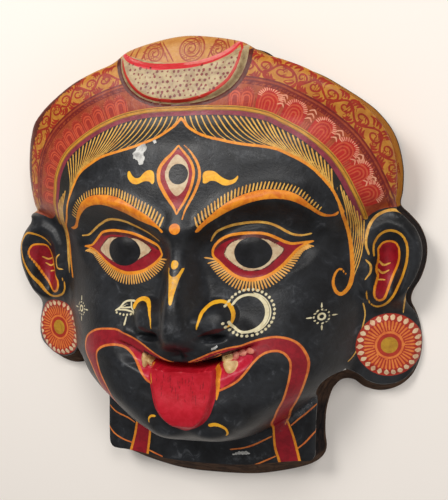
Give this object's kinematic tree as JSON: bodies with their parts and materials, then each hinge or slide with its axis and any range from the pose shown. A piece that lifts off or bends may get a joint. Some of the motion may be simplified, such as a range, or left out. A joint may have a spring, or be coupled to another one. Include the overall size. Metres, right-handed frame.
{
  "type": "papier-mache mask",
  "caption": "Hollow papier-mache wall mask of a three-eyed goddess with long tongue, round ear discs, moon crest and patterned headband, painted on black.",
  "frame": {"origin": "middle of the mask's box on the plane of its back rim", "axes": "+Z out of the face, +Y to the crown, +X to the viewer's right; the mask lies face up"},
  "size_m": [0.4314, 0.452, 0.1492],
  "materials": {
    "painted_paper": "hand-painted matt black over layered paper"
  },
  "bodies": {
    "root": {"mask_shell": "painted_paper"}
  },
  "joints": []
}
